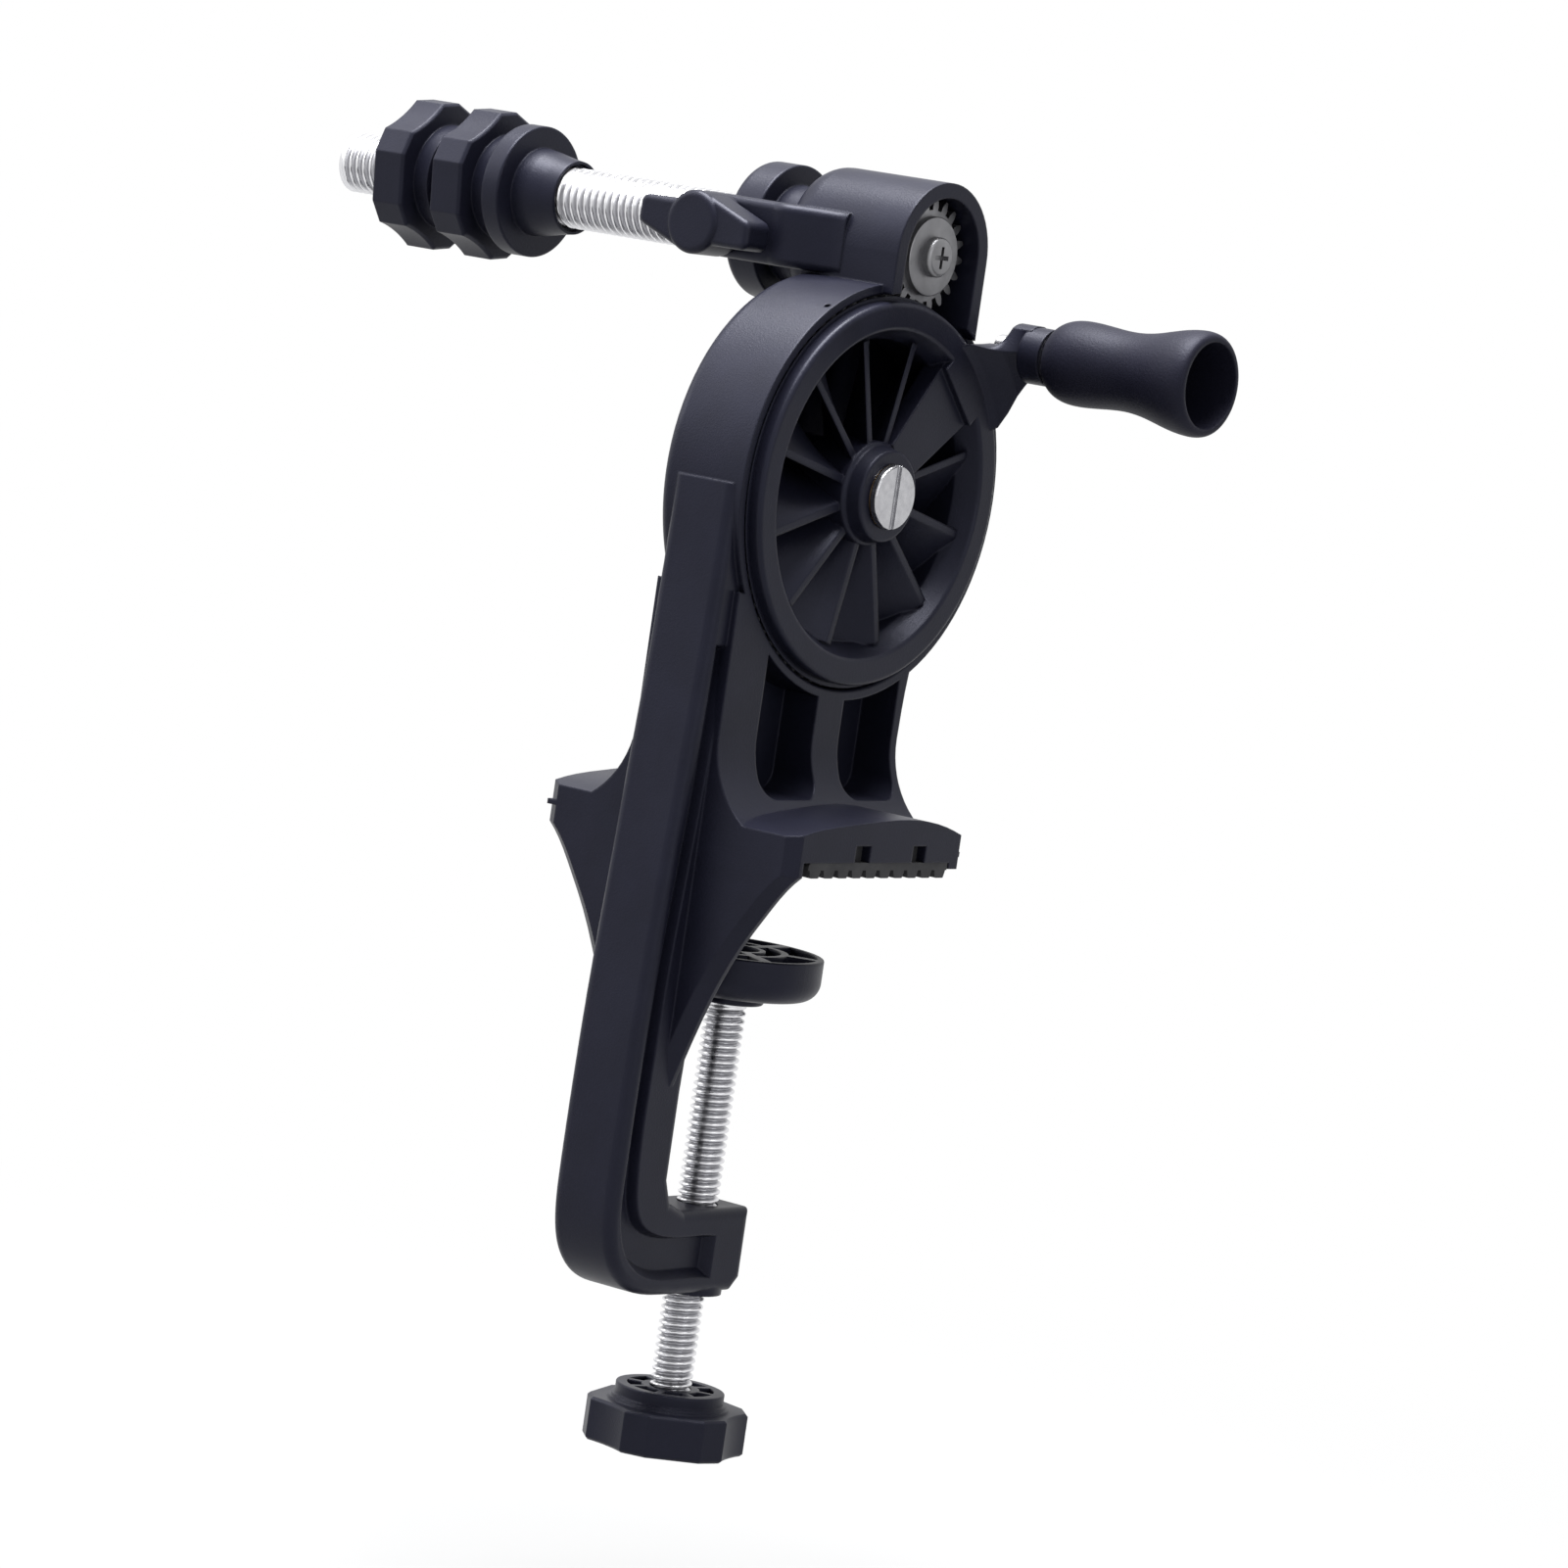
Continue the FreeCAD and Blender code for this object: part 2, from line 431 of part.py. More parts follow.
def frame():
    case = rod("x", CASE_R, CASE_BACK, CASE_FRONT)
    case = case.makeFillet(CASE_EDGE, edges_where(case, flat_at("x", CASE_BACK)))
    boss = rod("x", BOSS_R, BOSS_BACK, BOSS_FRONT, SPINDLE_Y, SPINDLE_Z)
    boss = boss.makeFillet(BOSS_ROUND, edges_where(boss, flat_at("x", BOSS_BACK)))
    foot = prism("x", CASE_BACK, BOSS_FRONT, [
        (SPINDLE_Y - BOSS_R, SPINDLE_Z), (SPINDLE_Y + BOSS_R, SPINDLE_Z),
        (SPINDLE_Y + BOSS_R, BOSS_FOOT_Z), (SPINDLE_Y - BOSS_R, BOSS_FOOT_Z)])
    body = case
    for piece in (boss, foot, drag_arm(), column(), upper_jaw(), spine()):
        body = body.fuse(piece)
    mouth = CASE_BORE + RIM_CHAMFER
    cavity = turned("x", 0, 0, [(CASE_FLOOR, 0), (CASE_FLOOR, CASE_BORE, CAVITY_ROUND),
                                (CASE_FRONT - RIM_CHAMFER, CASE_BORE), (CASE_FRONT, mouth),
                                (PAST, mouth), (PAST, 0)])
    recess = rod("x", RECESS_R, RECESS_FLOOR, PAST, SPINDLE_Y, SPINDLE_Z)
    slot = prism("x", RECESS_FLOOR, PAST, [(SPINDLE_Y - RECESS_R, SPINDLE_Z),
                                           (SPINDLE_Y + RECESS_R, SPINDLE_Z),
                                           (SPINDLE_Y + RECESS_R, RECESS_FOOT_Z),
                                           (SPINDLE_Y - RECESS_R, RECESS_FOOT_Z)])
    oil = rod("z", OIL_HOLE_R, CASE_BORE - PAST, CASE_R + PAST, OIL_HOLE_X, 0.0)
    oil.rotate(V(0, 0, 0), V(1, 0, 0), math.degrees(OIL_HOLE_ANGLE) - 90)
    for tool in [cavity, recess, slot, oil] + jaw_slots():
        body = body.cut(tool)
    body = body.fuse(rod("x", AXLE_BOSS_R, CASE_FLOOR - PAST, RECESS_FLOOR))
    bores = [rod("x", AXLE_R, CASE_BACK - PAST, AXLE_FRONT),
             rod("x", AXLE_FLANGE_R, CASE_BACK - PAST, CASE_BACK + AXLE_FLANGE_T),
             rod("x", BUSH_R, BOSS_BACK - PAST, RECESS_FLOOR + PAST, SPINDLE_Y, SPINDLE_Z),
             rod("y", DRAG_INSERT_R, ARM_FRONT - PAST, drag_insert_end(), DRAG_X, SPINDLE_Z),
             rod("y", SHOE_R + 4 * RUN, ARM_FRONT, ARM_BACK + PAST, DRAG_X, SPINDLE_Z),
             rod("z", CLAMP_SCREW_R + RUN, JAW_BOSS_BOTTOM - PAST, JAW_TOP + PAST, CLAMP_X, CLAMP_Y),
             rod("z", CLAMP_INSERT_R, JAW_BOTTOM + CLAMP_INSERT_INSET, JAW_TOP - CLAMP_INSERT_INSET,
                 CLAMP_X, CLAMP_Y)]
    for bore in bores:
        body = body.cut(bore)
    return body.removeSplitter()


def upper_jaw_pad():
    left, right = CLAMP_X - WING_HALF + PAD_INSET, CLAMP_X + WING_HALF - PAD_INSET
    body = prism("x", left, right, [(PAD_Y0, UPPER_BOTTOM, PAD_ROUND_TOP), (PAD_Y1, UPPER_BOTTOM),
                                    (PAD_Y1, PAD_LOW), (PAD_Y0, PAD_LOW)])
    parts = [body]
    pitch = (PAD_Y1 - PAD_Y0) / PAD_TEETH
    for k in range(PAD_TEETH):
        y0 = PAD_Y0 + pitch * k
        tooth = [(y0 + PAD_TOOTH_GAP / 2, PAD_LOW), (y0 + pitch - PAD_TOOTH_GAP / 2, PAD_LOW),
                 (y0 + pitch - PAD_TOOTH_GAP, PAD_LOW - PAD_TOOTH_H, PAD_TOOTH_ROUND),
                 (y0 + PAD_TOOTH_GAP, PAD_LOW - PAD_TOOTH_H, PAD_TOOTH_ROUND)]
        parts.append(prism("x", left, right, tooth))
    first, last = CLAMP_X - WING_HALF + TONGUE_INSET, CLAMP_X + WING_HALF - TONGUE_INSET
    for low, high in SLOT_BANDS:
        parts.append(prism("x", first, last, [(low, UPPER_BOTTOM), (high, UPPER_BOTTOM),
                                              (high, SLOT_TOP), (low, SLOT_TOP)]))
    return fuse(parts)


# ---- crank
def blade(angle):
    """Twisted vane: thin radial sections, each turned a little further towards the back."""
    wires = []
    for k in range(BLADE_STEPS + 1):
        share = k / BLADE_STEPS
        x = BLADE_FRONT + (BLADE_BACK - BLADE_FRONT) * share
        turn = angle - BLADE_SWEEP * share
        radial, cross = V(0, *polar(1.0, turn)), V(0, *polar(1.0, turn + math.pi / 2))
        inner, outer = HUB_R - 1.0, SKIRT_IN + 0.6
        corners = [V(x, 0, 0) + radial * r + cross * s for r, s in (
            (inner, -BLADE_T / 2), (outer, -BLADE_T / 2), (outer, BLADE_T / 2), (inner, BLADE_T / 2))]
        wires.append(Part.makePolygon(corners + corners[:1]))
    return Part.makeLoft(wires, True, True)


def fairing():
    """Crank arm: sections that shrink from the ring's edge to the handle boss, clear of the pinion boss
    that the arm passes over."""
    wires = []
    for x, beyond, a0, a1, top in FAIRING:
        points = []
        for k in range(FAIRING_POINTS):
            share = k / (FAIRING_POINTS - 1)
            angle = math.radians(a1 + (a0 - a1) * share)
            points.append(V(x, *polar(FLANGE_R + beyond, angle)))
        for k in range(FAIRING_POINTS):
            share = k / (FAIRING_POINTS - 1)
            angle = HANDLE_ANGLE + FAIRING_WRAP * (2 * share - 1)
            u, v = polar(FAIRING_BOSS_R, angle)
            points.append(V(x, HANDLE_Y + u, min(HANDLE_Z + v, top)))
        wires.append(Part.makePolygon(points + points[:1]))
    arm = Part.makeLoft(wires, True, True)
    return arm.cut(tube("x", HANDLE_R + 2 * FAIRING_BOSS_R, FLANGE_R - FLANGE_ROUND / 2, FAIRING[0][0] - PAST,
                        BOSS_FRONT + SHAKE))


def crank_wheel():
    hub = turned("x", 0, 0, [(WHEEL_BACK, CRANK_BUSH_R - 1), (WHEEL_BACK, HUB_R), (HUB_NECK, HUB_R, 0.5),
                             (HUB_NECK + 0.6, HUB_R - 0.7, 0.4), (HUB_FRONT, HUB_TIP_R, 0.5),
                             (HUB_FRONT, CRANK_BUSH_R - 1)])
    ring = turned("x", 0, 0, [(WHEEL_BACK, SKIRT_IN), (WHEEL_BACK, SKIRT_R), (-FLANGE_T, SKIRT_R),
                              (-FLANGE_T, FLANGE_R), (0.0, FLANGE_R, FLANGE_ROUND),
                              (0.0, FLANGE_IN, FLANGE_ROUND), (-FLANGE_T * 1.5, SKIRT_IN)])
    vanes = [blade(math.pi / 2 - (BLADE_START + a)) for k, a in enumerate(ring_angles(BLADES))
             if k != WEB_BLADE]
    along_arm, across = V(0, *polar(1.0, HANDLE_ANGLE)), V(0, *polar(1.0, HANDLE_ANGLE + math.pi / 2))
    corners = [along_arm * r + across * s + V(CRANK_WEB_BACK, 0, 0) for r, s in (
        (HUB_R - 1, -CRANK_WEB_HUB / 2), (SKIRT_IN + 0.8, -CRANK_WEB_RIM / 2),
        (SKIRT_IN + 0.8, CRANK_WEB_RIM / 2), (HUB_R - 1, CRANK_WEB_HUB / 2))]
    web = Part.Face(Part.makePolygon(corners + corners[:1])).extrude(
        V(CRANK_WEB_FRONT - CRANK_WEB_BACK, 0, 0))
    root = [along_arm * r + across * s + V(ROOT_BACK, 0, 0) for r, s in (
        (SKIRT_IN - 1, -ROOT_HALF), (FLANGE_R - FLANGE_ROUND, -ROOT_HALF),
        (FLANGE_R - FLANGE_ROUND, ROOT_HALF), (SKIRT_IN - 1, ROOT_HALF))]
    bridge = Part.Face(Part.makePolygon(root + root[:1])).extrude(V(-ROOT_BACK, 0, 0))
    neck = rod("x", NECK_R, FAIRING[-1][0] - PAST, NECK_END, HANDLE_Y, HANDLE_Z)
    body = fuse([hub, ring, web, bridge, fairing(), neck] + vanes)
    body = body.cut(rod("x", CRANK_BUSH_R, WHEEL_BACK - PAST, WHEEL_BUSH_END))
    body = body.cut(rod("x", CRANK_BUSH_R - 1, WHEEL_BACK - PAST, HUB_FRONT + PAST))
    body = body.cut(rod("x", HANDLE_PIN_R, HANDLE_PIN_BACK, NECK_END + PAST, HANDLE_Y, HANDLE_Z))
    for screw in gear_screw_set():
        body = body.cut(screw)
    return body


def gear_screw_set():
    screws = []
    for angle in ring_angles(GEAR_SCREWS):
        y, z = polar(GEAR_SCREW_CIRCLE, angle)
        head = rod("x", GEAR_SCREW_HEAD_R, GEAR_BACK, GEAR_BACK + GEAR_SCREW_HEAD_T, y, z)
        screws.append(head.fuse(rod("x", GEAR_SCREW_R, GEAR_BACK, GEAR_SCREW_TIP, y, z)))
    return screws


def drive_gear():
    body = gear(DRIVE_TEETH, 0.0, 0.0, MESH_ANGLE).cut(rod("x", SKIRT_R, GEAR_BACK - PAST, GEAR_FRONT + PAST))
    filler = tube("x", DRIVE_ROOT_R, SKIRT_R, GEAR_FRONT, -FLANGE_T)
    body = body.fuse(filler).removeSplitter()
    for screw in gear_screw_set():
        body = body.cut(screw)
    return body


def crank_axle():
    body = rod("x", AXLE_R, CASE_BACK, AXLE_FRONT).fuse(
        rod("x", AXLE_FLANGE_R, CASE_BACK, CASE_BACK + AXLE_FLANGE_T))
    tap = rod("x", HUB_SCREW_R, AXLE_FRONT - HUB_SCREW_LEN - TAP_PAST, AXLE_FRONT + PAST)
    return body.cut(tap).removeSplitter()


def hub_screw():
    head = turned("x", 0, 0, [(AXLE_FRONT, 0), (AXLE_FRONT, SLOT_HEAD_R, 0.2),
                              (AXLE_FRONT + SLOT_HEAD_T, SLOT_HEAD_R, 0.45), (AXLE_FRONT + SLOT_HEAD_T, 0)])
    top = AXLE_FRONT + SLOT_HEAD_T
    reach = SLOT_HEAD_R + PAST
    slot = prism("x", top - SLOT_DEPTH, top + PAST, [
        (-SLOT_W / 2, -reach), (SLOT_W / 2, -reach), (SLOT_W / 2, reach), (-SLOT_W / 2, reach)])
    shank = rod("x", HUB_SCREW_R, AXLE_FRONT - HUB_SCREW_LEN, AXLE_FRONT + 0.1)
    return head.fuse(shank).cut(slot).removeSplitter()


def handle_grip():
    outer = [place_handle(x, r) for x, r in GRIP_OUT]
    curve = Part.BSplineCurve()
    curve.interpolate(outer)
    lines = [place_handle(GRIP_END, CUP_R), place_handle(GRIP_FLOOR, CUP_DEPTH_R),
             place_handle(GRIP_FLOOR, HANDLE_PIN_R + RUN), place_handle(GRIP_START, HANDLE_PIN_R + RUN),
             outer[0]]
    edges = [curve.toShape(), Part.makeLine(outer[-1], lines[0])]
    edges += [Part.makeLine(a, b) for a, b in zip(lines, lines[1:])]
    face = Part.Face(Part.Wire(edges))
    return face.revolve(V(0, HANDLE_Y, HANDLE_Z), V(1, 0, 0), 360)


def place_handle(x, r):
    return V(x, HANDLE_Y, HANDLE_Z + r)


def handle_pin():
    front = GRIP_FLOOR + SHAKE
    body = rod("x", HANDLE_PIN_R, HANDLE_PIN_BACK, front, HANDLE_Y, HANDLE_Z)
    return body.cut(rod("x", CUP_SCREW_R, front - CUP_SCREW_LEN - TAP_PAST, front + PAST, HANDLE_Y, HANDLE_Z))


def handle_screw():
    seat = GRIP_FLOOR + SHAKE
    head = turned("x", HANDLE_Y, HANDLE_Z, [(seat, 0), (seat, CUP_SCREW_HEAD_R),
                                            (seat + CUP_SCREW_HEAD_T, CUP_SCREW_HEAD_R, 0.8),
                                            (seat + CUP_SCREW_HEAD_T, 0)])
    head = head.fuse(rod("x", CUP_SCREW_R, seat - CUP_SCREW_LEN, seat + 0.1, HANDLE_Y, HANDLE_Z))
    return cross_recess(head, seat + CUP_SCREW_HEAD_T, HANDLE_Y, HANDLE_Z).removeSplitter()


def cross_recess(body, top, y, z):
    for u, v in ((CROSS_ARM, CROSS_HALF), (CROSS_HALF, CROSS_ARM)):
        body = body.cut(prism("x", top - CROSS_DEPTH, top + 1, [(y - u, z - v), (y + u, z - v),
                                                                (y + u, z + v), (y - u, z + v)]))
    return body


# ---- spindle
def spindle_shaft():
    tip = GEAR_FRONT - SHAKE
    body = turned("x", SPINDLE_Y, SPINDLE_Z, [
        (SPINDLE_END, 0), (SPINDLE_END, SPINDLE_R - SPINDLE_CHAMFER),
        (SPINDLE_END + SPINDLE_CHAMFER, SPINDLE_R), (THREAD_STOP, SPINDLE_R), (THREAD_STOP, JOURNAL_R),
        (GEAR_BACK, JOURNAL_R), (GEAR_BACK, PINION_SEAT_R), (tip, PINION_SEAT_R), (tip, 0)])
    body = body.cut(rod("x", SHAFT_TAP_R, tip - SHAFT_TAP_LEN, tip + PAST, SPINDLE_Y, SPINDLE_Z))
    return body.cut(cross_pin(0.0))


def cross_pin(inset):
    return rod("z", PIN_R, SPINDLE_Z - SLEEVE_R + inset, SPINDLE_Z + SLEEVE_R - inset, PIN_X, SPINDLE_Y)


def spool_flange():
    body = turned("x", SPINDLE_Y, SPINDLE_Z, [
        (DISC_BACK, SPINDLE_R), (DISC_BACK, DISC_R, DISC_ROUND), (DISC_FRONT, DISC_R, 0.3),
        (DISC_FRONT, SLEEVE_R), (BOSS_BACK - AIR, SLEEVE_R, 0.4), (BOSS_BACK - AIR, SPINDLE_R)])
    return body.cut(cross_pin(-1.0))


def bush(a, b):
    return tube("x", BUSH_R, JOURNAL_R + RUN, a, b, SPINDLE_Y, SPINDLE_Z)


def spool_cone():
    tip = CONE_NOSE[-1][0]
    return turned("x", SPINDLE_Y, SPINDLE_Z, [
        (CONE_BACK, SPINDLE_R + RUN), (CONE_BACK, CONE_DISC_R, CONE_EDGE),
        (CONE_FACE, CONE_DISC_R, CONE_RIM), *CONE_NOSE, (tip, SPINDLE_R + CONE_MOUTH),
        (tip - CONE_STEP, SPINDLE_R + CONE_MOUTH), (tip - CONE_STEP, SPINDLE_R + RUN)])


def lobed_face(axis, t, u, v, corner_r, waist_r, first_lobe):
    """Three lobes with three flats each, joined by hollow arcs."""
    edges = []
    for k in range(3):
        middle = first_lobe + 2 * math.pi * k / 3
        spots = []
        for a in (-LOBE_OUTER, -LOBE_INNER, LOBE_INNER, LOBE_OUTER):
            du, dv = polar(corner_r, middle + a)
            spots.append(place(axis, t, (u + du, v + dv)))
        edges += [Part.makeLine(a, b) for a, b in zip(spots, spots[1:])]
        du, dv = polar(waist_r, middle + math.pi / 3)
        waist = place(axis, t, (u + du, v + dv))
        du, dv = polar(corner_r, middle + 2 * math.pi / 3 - LOBE_OUTER)
        edges.append(Part.Arc(spots[-1], waist, place(axis, t, (u + du, v + dv))).toShape())
    return Part.Face(Part.Wire(edges))


def hand_nut(face):
    body = lobed_face("x", face - NUT_BODY, SPINDLE_Y, SPINDLE_Z, NUT_CORNER_R, NUT_WAIST_R,
                      NUT_LOBES).extrude(V(NUT_BODY, 0, 0))
    rims = [e for t in (face, face - NUT_BODY) for e in edges_where(body, flat_at("x", t))]
    body = body.makeChamfer(EDGE_BREAK, rims)
    collar = rod("x", NUT_COLLAR_R, face - 1, face + NUT_COLLAR, SPINDLE_Y, SPINDLE_Z)
    body = body.fuse(collar)
    return body.cut(rod("x", SPINDLE_R + RUN, face - NUT_BODY - 1, face + NUT_COLLAR + 1,
                        SPINDLE_Y, SPINDLE_Z)).removeSplitter()


def nut_washer():
    start = NUT_FACE_OUTER + NUT_COLLAR
    return tube("x", NUT_COLLAR_R - 1.2, SPINDLE_R + RUN, start + SHAKE, start + SHAKE + NUT_WASHER_T,
                SPINDLE_Y, SPINDLE_Z)


def pinion_gear():
    body = gear(PINION_TEETH, SPINDLE_Y, SPINDLE_Z, MESH_ANGLE + math.pi + math.pi / PINION_TEETH)
    return body.cut(rod("x", PINION_SEAT_R, GEAR_BACK - 1, GEAR_FRONT + 1, SPINDLE_Y, SPINDLE_Z))


def pinion_washer():
    return turned("x", SPINDLE_Y, SPINDLE_Z, [
        (GEAR_FRONT, SHAFT_TAP_R), (GEAR_FRONT, WASHER_R), (GEAR_FRONT + PINION_WASHER_T, WASHER_R, 0.3),
        (GEAR_FRONT + PINION_WASHER_T, SHAFT_TAP_R)])


def pinion_screw():
    seat = GEAR_FRONT + PINION_WASHER_T
    head = turned("x", SPINDLE_Y, SPINDLE_Z, [(seat, 0), (seat, PAN_R), (seat + PAN_T, PAN_R, 0.9),
                                              (seat + PAN_T, 0)])
    head = head.fuse(rod("x", SHAFT_TAP_R, seat - PINION_SCREW_LEN, seat + 0.1, SPINDLE_Y, SPINDLE_Z))
    return cross_recess(head, seat + PAN_T, SPINDLE_Y, SPINDLE_Z).removeSplitter()


# ---- drag brake
def shoe_front():
    return SPINDLE_Y - DISC_R - SHAKE


def drag_insert_end():
    return shoe_front() - SHOE_T - SHOE_RETRACT - SHAKE


def drag_knob():
    wing = [(0.0, WING_FLAT), (-WING_REACH, WING_FLAT, 1.6), (-WING_REACH, WING_TIP, 1.8),
            (-DOME_R * 0.45, -DOME_R * 0.9), (0.0, -DOME_R * 0.9)]
    both = [wing, [(-u, -v) + tuple(p[2:]) for p in wing for u, v in (p[:2],)]]
    parts = []
    for outline in both:
        points = [(DRAG_X + p[0], SPINDLE_Z + p[1]) + tuple(p[2:]) for p in outline]
        solid = prism("y", WINGS_FRONT, WINGS_BACK, points)
        rims = [e for t in (WINGS_FRONT, WINGS_BACK) for e in edges_where(solid, flat_at("y", t))
                if abs(e.CenterOfMass.x - DRAG_X) > 1.0]
        parts.append(solid.makeFillet(WING_EDGE, rims))
    dome = turned("y", DRAG_X, SPINDLE_Z, [(DOME_FRONT, 0), (DOME_FRONT, DOME_R, DOME_CORNER),
                                           (ARM_FRONT - AIR, DOME_R), (ARM_FRONT - AIR, 0)])
    body = fuse([dome] + parts)
    return body.cut(rod("y", DRAG_SCREW_R, DRAG_SCREW_IN, ARM_FRONT, DRAG_X, SPINDLE_Z))


def drag_screw():
    back = shoe_front() - SHOE_T
    body = rod("y", DRAG_SCREW_R, DRAG_SCREW_IN, back - SHAKE, DRAG_X, SPINDLE_Z)
    return body.fuse(rod("y", SHOE_PEG_R, back - SHAKE - 0.5, back + SHOE_PEG_DEPTH - SHAKE,
                         DRAG_X, SPINDLE_Z)).removeSplitter()


def drag_shoe():
    front = shoe_front()
    body = rod("y", SHOE_R, front - SHOE_T, front, DRAG_X, SPINDLE_Z)
    return body.cut(rod("y", SHOE_PEG_R + RUN, front - SHOE_T - 1, front - SHOE_T + SHOE_PEG_DEPTH,
                        DRAG_X, SPINDLE_Z))


def drag_insert():
    return tube("y", DRAG_INSERT_R, DRAG_SCREW_R + RUN, ARM_FRONT, drag_insert_end(), DRAG_X, SPINDLE_Z)


# ---- clamp
def clamp_screw():
    shoulder = PAD_BOTTOM - PAD_HUB_T - SHAKE
    body = rod("z", CLAMP_SCREW_R, KNOB_SCREW_IN, shoulder, CLAMP_X, CLAMP_Y)
    body = body.fuse(rod("z", CLAMP_NECK_R, shoulder - PAST, NECK_TOP, CLAMP_X, CLAMP_Y))
    return body.removeSplitter()


def clamp_insert():
    return tube("z", CLAMP_INSERT_R, CLAMP_SCREW_R + RUN, JAW_BOTTOM + CLAMP_INSERT_INSET,
                JAW_TOP - CLAMP_INSERT_INSET, CLAMP_X, CLAMP_Y)


def sector(r0, r1, gap, count, first, z0, z1):
    """Ring segments with rounded corners and parallel ribs between them."""
    solids = []
    for angle in ring_angles(count):
        middle = first + angle
        half0 = math.pi / count - gap / 2 / r0
        half1 = math.pi / count - gap / 2 / r1
        spots = [polar(r0, middle - half0), polar(r1, middle - half1), polar(r1, middle),
                 polar(r1, middle + half1), polar(r0, middle + half0), polar(r0, middle)]
        p = [V(CLAMP_X + u, CLAMP_Y + v, z0) for u, v in spots]
        edges = [Part.makeLine(p[0], p[1]), Part.Arc(p[1], p[2], p[3]).toShape(),
                 Part.makeLine(p[3], p[4]), Part.Arc(p[4], p[5], p[0]).toShape()]
        solids.append(Part.Face(Part.Wire(edges)).extrude(V(0, 0, z1 - z0)))
    return solids


def swivel_pad():
    hub = PAD_BOTTOM - PAD_HUB_T
    body = turned("z", CLAMP_X, CLAMP_Y, [
        (PAD_TOP, 0), (PAD_TOP, PAD_R, 0.4), (PAD_BOTTOM, PAD_R, PAD_ROUND), (PAD_BOTTOM, PAD_HUB_R),
        (hub, PAD_HUB_R, 0.5), (hub, 0)])
    pockets = sector(PETAL_IN, PETAL_OUT, PETAL_GAP, PETALS, 0.0, PAD_TOP - PETAL_DEPTH, PAD_TOP + 1)
    pockets += sector(RING_IN, RING_OUT, RING_GAP, PETALS // 2, math.radians(30.0),
                      PAD_TOP - PETAL_DEPTH, PAD_TOP + 1)
    pockets.append(rod("z", CLIP_WELL_R, CLIP_WELL_FLOOR, PAD_TOP + 1, CLAMP_X, CLAMP_Y))
    pockets.append(rod("z", CLAMP_NECK_R + RUN, hub - PAST, PAD_TOP + PAST, CLAMP_X, CLAMP_Y))
    for pocket in pockets:
        body = body.cut(pocket)
    return body


def pad_clip():
    floor = CLIP_WELL_FLOOR + SHAKE
    return tube("z", CLIP_R, CLAMP_NECK_R, floor, floor + CLIP_T, CLAMP_X, CLAMP_Y)


def clamp_knob():
    body = lobed_face("z", KNOB_BOTTOM, CLAMP_X, CLAMP_Y, KNOB_CORNER_R, KNOB_WAIST_R,
                      KNOB_LOBES).extrude(V(0, 0, KNOB_TOP - KNOB_BOTTOM))
    rims = [e for t in (KNOB_TOP, KNOB_BOTTOM) for e in edges_where(body, flat_at("z", t))]
    body = body.makeChamfer(EDGE_BREAK, rims)
    collar = turned("z", CLAMP_X, CLAMP_Y, [(KNOB_TOP - 1, 0), (KNOB_TOP - 1, KNOB_STEP_R + 0.6),
                                            (KNOB_TOP + 0.4, KNOB_STEP_R + 0.6),
                                            (KNOB_TOP + 0.4, KNOB_STEP_R),
                                            (KNOB_TOP + 0.9, KNOB_STEP_R), (KNOB_TOP + 0.9, KNOB_COLLAR_R),
                                            (KNOB_COLLAR_TOP, KNOB_COLLAR_R, 0.3), (KNOB_COLLAR_TOP, 0)])
    body = body.fuse(collar)
    wells = sector(KNOB_CORE_R, KNOB_WELL_R, KNOB_RIB_W, KNOB_RIBS, 0.0,
                   KNOB_COLLAR_TOP - KNOB_WELL_DEPTH, KNOB_COLLAR_TOP + 1)
    wells.append(rod("z", CLAMP_SCREW_R, KNOB_SCREW_IN, KNOB_COLLAR_TOP + 1, CLAMP_X, CLAMP_Y))
    for well in wells:
        body = body.cut(well)
    return body.removeSplitter()


def handle_washer():
    return tube("x", HANDLE_WASHER_R, HANDLE_PIN_R, NECK_END, NECK_END + HANDLE_WASHER_T / 2,
                HANDLE_Y, HANDLE_Z)


PIECES = {
    "frame": frame,
    "upper_jaw_pad": upper_jaw_pad,
    "crank_axle": crank_axle,
    "crank_bush": lambda: tube("x", CRANK_BUSH_R, AXLE_R + RUN, WHEEL_BACK, WHEEL_BUSH_END),
    "crank_wheel": crank_wheel,
    "drive_gear": drive_gear,
    "gear_screws": lambda: Part.makeCompound([s.removeSplitter() for s in gear_screw_set()]),
    "hub_screw": hub_screw,
    "handle_pin": handle_pin,
    "handle_washer": handle_washer,
    "handle_grip": handle_grip,
    "handle_screw": handle_screw,
    "pinion_gear": pinion_gear,
    "pinion_washer": pinion_washer,
    "pinion_screw": pinion_screw,
    "spindle_shaft": spindle_shaft,
    "spindle_bush_front": lambda: bush(RECESS_FLOOR - BUSH_LEN, RECESS_FLOOR),
    "spindle_bush_rear": lambda: bush(BOSS_BACK + BUSH_SET, BOSS_BACK + BUSH_SET + BUSH_LEN),
    "spool_flange": spool_flange,
    "flange_pin": lambda: cross_pin(PIN_INSET),
    "spool_cone": spool_cone,
    "spool_nut_inner": lambda: hand_nut(NUT_FACE_INNER),
    "nut_washer": nut_washer,
    "spool_nut_outer": lambda: hand_nut(NUT_FACE_OUTER),
    "drag_knob": drag_knob,
    "drag_screw": drag_screw,
    "drag_insert": drag_insert,
    "drag_shoe": drag_shoe,
    "clamp_screw": clamp_screw,
    "clamp_insert": clamp_insert,
    "swivel_pad": swivel_pad,
    "pad_clip": pad_clip,
    "clamp_knob": clamp_knob,
}

